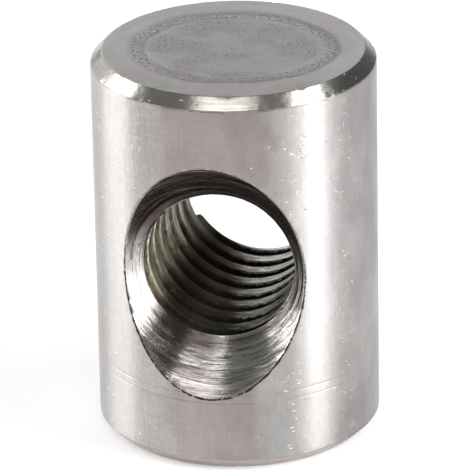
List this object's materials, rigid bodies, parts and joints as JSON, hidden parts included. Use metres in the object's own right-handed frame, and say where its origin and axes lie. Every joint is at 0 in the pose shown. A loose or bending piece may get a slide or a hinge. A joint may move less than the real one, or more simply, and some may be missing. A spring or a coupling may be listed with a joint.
{
  "type": "cross dowel nut",
  "caption": "Plain turned steel barrel, chamfered on both ends, with a metric threaded hole through its side that is countersunk deeply on the screw's side.",
  "frame": {"origin": "centre of the barrel's lower end face", "axes": "+Z along the barrel, and the threaded hole along Y with its deep countersink facing -Y"},
  "size_m": [0.01, 0.01, 0.014],
  "materials": {
    "steel": "bright turned steel, uncoated, lightly scratched"
  },
  "bodies": {
    "root": {"cross_dowel_nut": "steel"}
  },
  "joints": []
}
